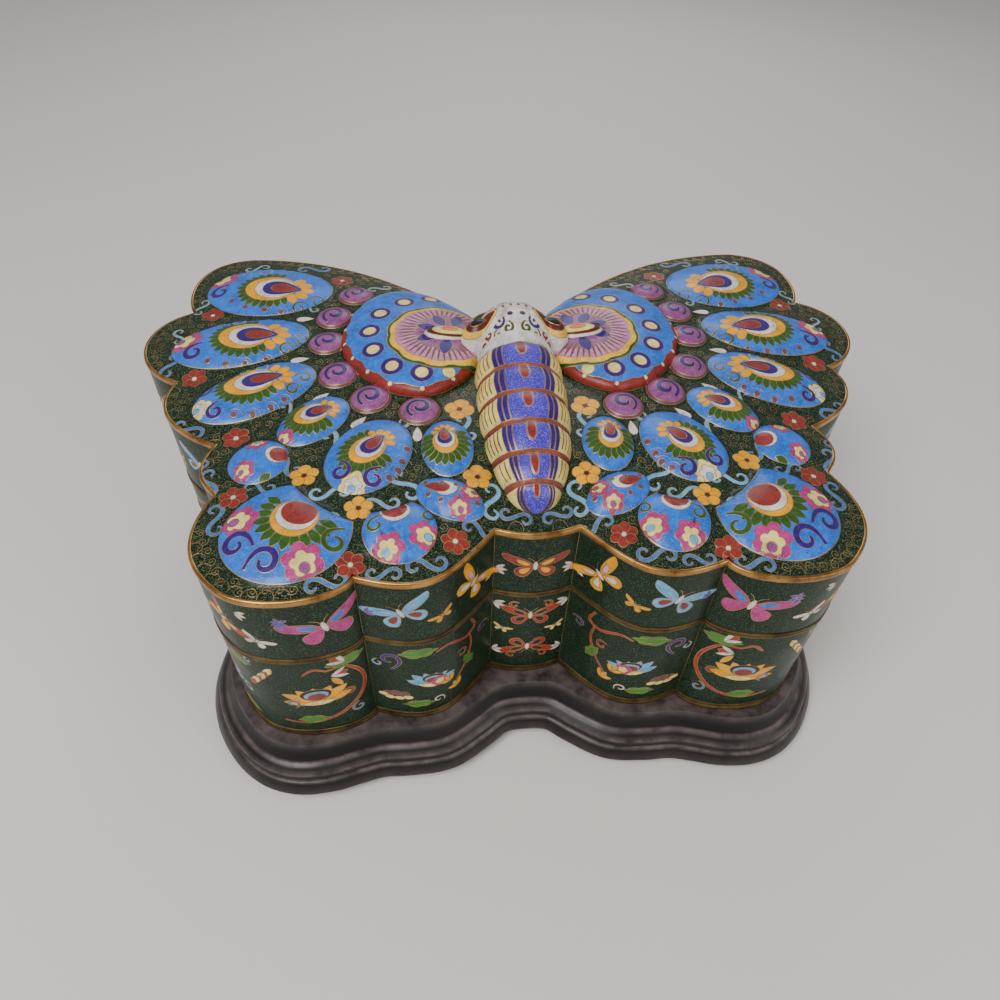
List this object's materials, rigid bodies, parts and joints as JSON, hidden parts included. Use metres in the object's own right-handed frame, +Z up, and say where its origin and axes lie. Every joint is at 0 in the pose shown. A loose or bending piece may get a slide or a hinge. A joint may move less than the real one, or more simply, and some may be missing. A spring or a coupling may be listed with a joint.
{
  "type": "cloisonne enamel box",
  "caption": "Butterfly-shaped cloisonne enamel box with a lift-off domed lid, gilt rims and a low moulded hardwood stand.",
  "frame": {"origin": "under the middle of the object, on the surface that the stand's feet rest on", "axes": "+Z up, X across the wings, -Y towards the butterfly's tail, which is the front of the box"},
  "size_m": [0.3004, 0.216, 0.1367],
  "materials": {
    "enamel": "glossy",
    "gilt": "satin",
    "hardwood": "polished"
  },
  "bodies": {
    "root": {"stand": "hardwood", "stand_foot_front_right": "hardwood", "stand_foot_front_left": "hardwood", "stand_foot_back_right": "hardwood", "stand_foot_back_left": "hardwood", "foot_rim": "gilt", "body_mouth_rim": "gilt", "lid_mouth_rim": "gilt", "lid_edge_rim": "gilt", "box_body": "enamel", "lid": "enamel"}
  },
  "joints": []
}
